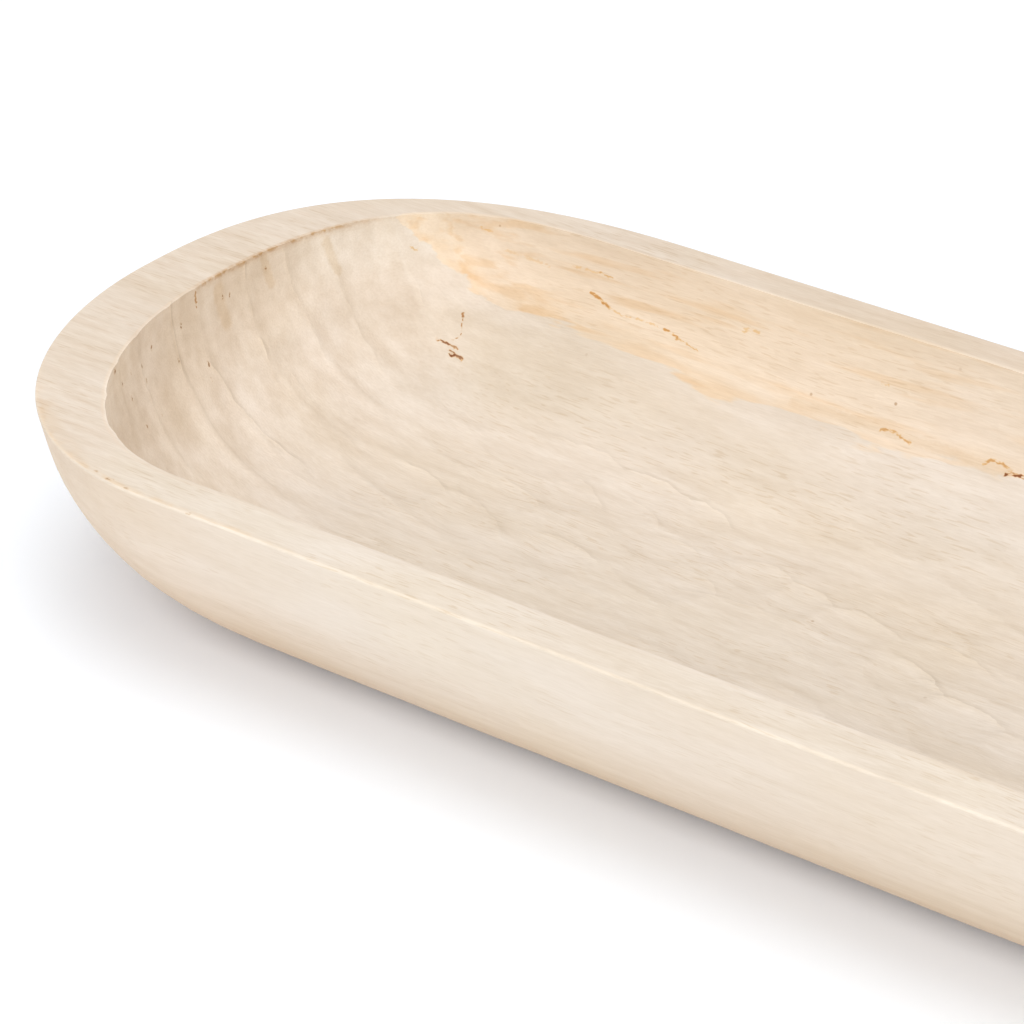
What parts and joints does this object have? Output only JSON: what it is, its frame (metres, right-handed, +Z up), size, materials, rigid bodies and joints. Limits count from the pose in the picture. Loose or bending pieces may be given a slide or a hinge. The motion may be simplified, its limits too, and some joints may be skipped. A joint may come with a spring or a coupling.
{
  "type": "carved wooden platter",
  "caption": "Long hand-carved wooden platter with a flat rim, a deep gouged basin and a rounded underside, for serving, proving dough or display.",
  "frame": {"origin": "centre of the overall box, on the table under the foot", "axes": "+X along the grain towards the end that the picture doesn't show, +Y across to the far side, +Z up"},
  "size_m": [0.62, 0.25, 0.076],
  "materials": {
    "bleached_wood": "matt, sanded rim and gouged basin, unvarnished"
  },
  "bodies": {
    "root": {"carved_platter": "bleached_wood"}
  },
  "joints": []
}
